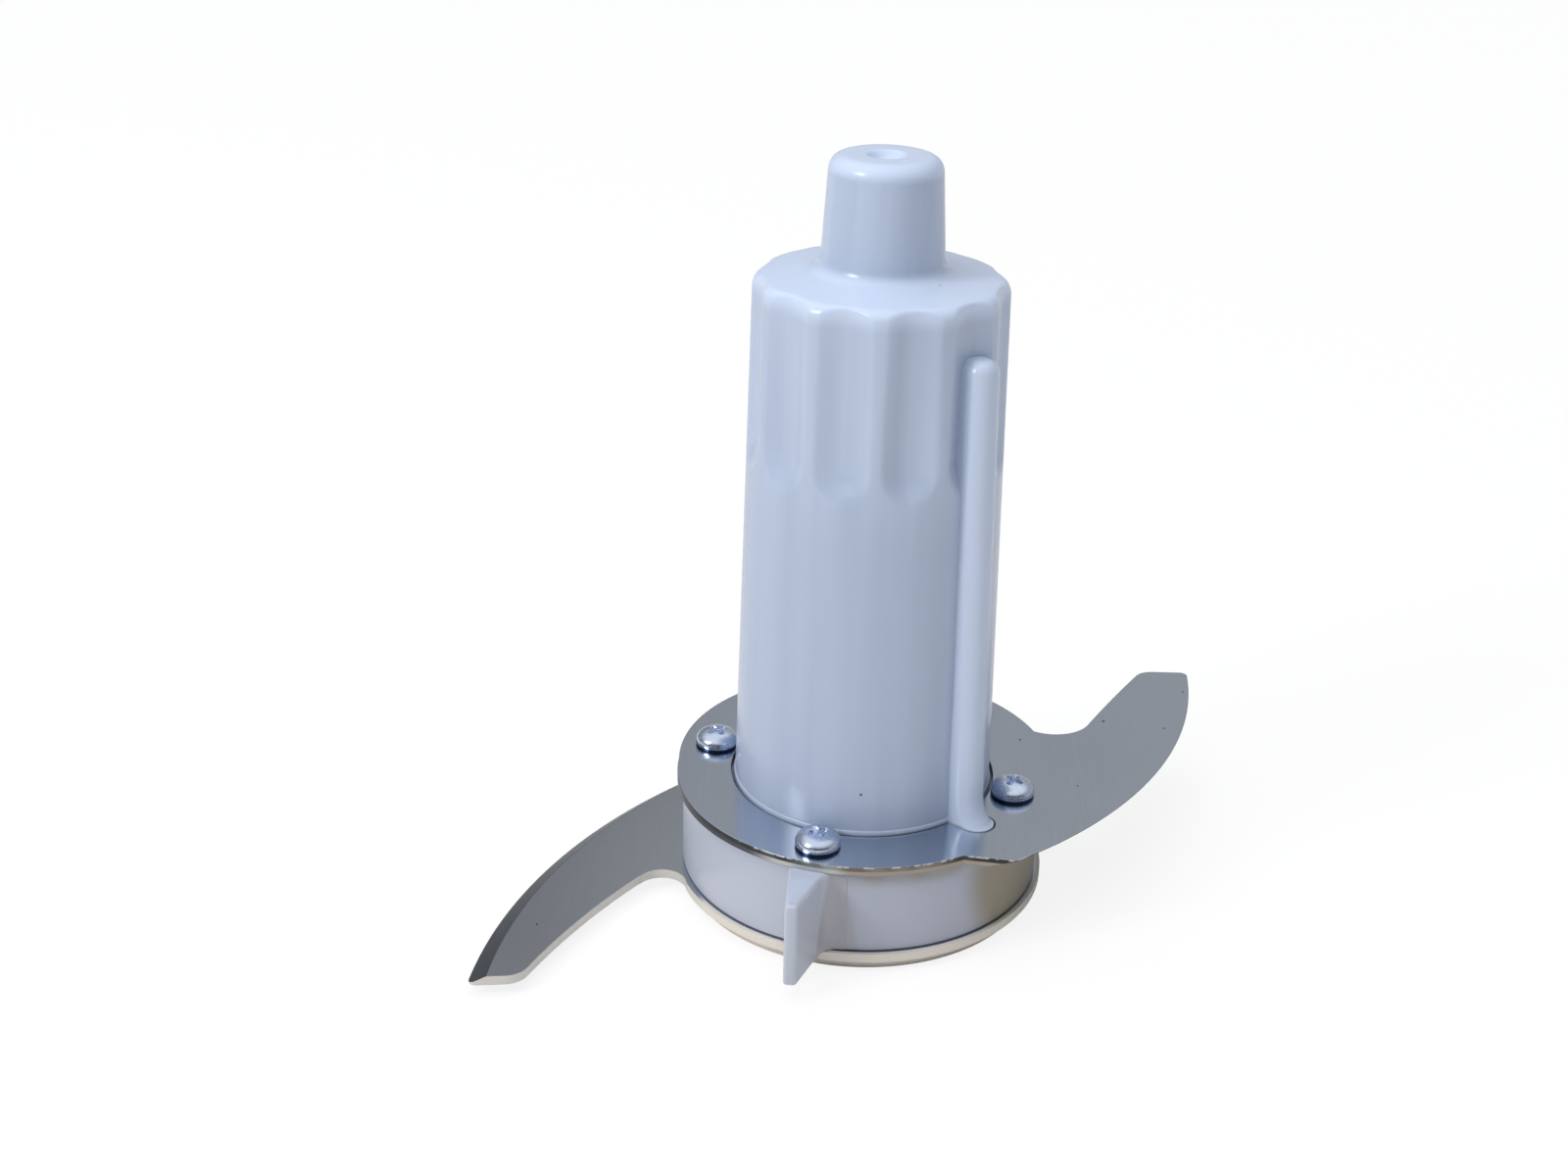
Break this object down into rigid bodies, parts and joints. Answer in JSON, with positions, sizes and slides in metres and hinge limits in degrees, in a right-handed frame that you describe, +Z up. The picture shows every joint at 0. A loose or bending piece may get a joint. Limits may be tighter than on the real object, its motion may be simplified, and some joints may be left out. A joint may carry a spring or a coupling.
{
  "type": "food_processor_blade",
  "caption": "S-blade insert for a food processor: tall pale plastic hub with a fluted grip, and swept stainless blades above and below a spacer drum with a scraper vane",
  "frame": {"origin": "centre of the base's underside, on the hub's axis", "axes": "+Z up along the hub's axis, -Y towards the viewer of the picture, +X to the viewer's right; the upper blade's arm lies on the +X side"},
  "size_m": [0.1153, 0.0789, 0.12],
  "materials": {
    "hub_plastic": "gloss",
    "blade_steel": "fine ground, nearly mirror bright",
    "base_plastic": "satin",
    "screw_plating": "bright plated"
  },
  "bodies": {
    "root": {"blade_hub": "hub_plastic", "upper_blade": "blade_steel", "lower_blade": "blade_steel", "base_ring": "base_plastic", "blade_screws": "screw_plating"}
  },
  "joints": []
}
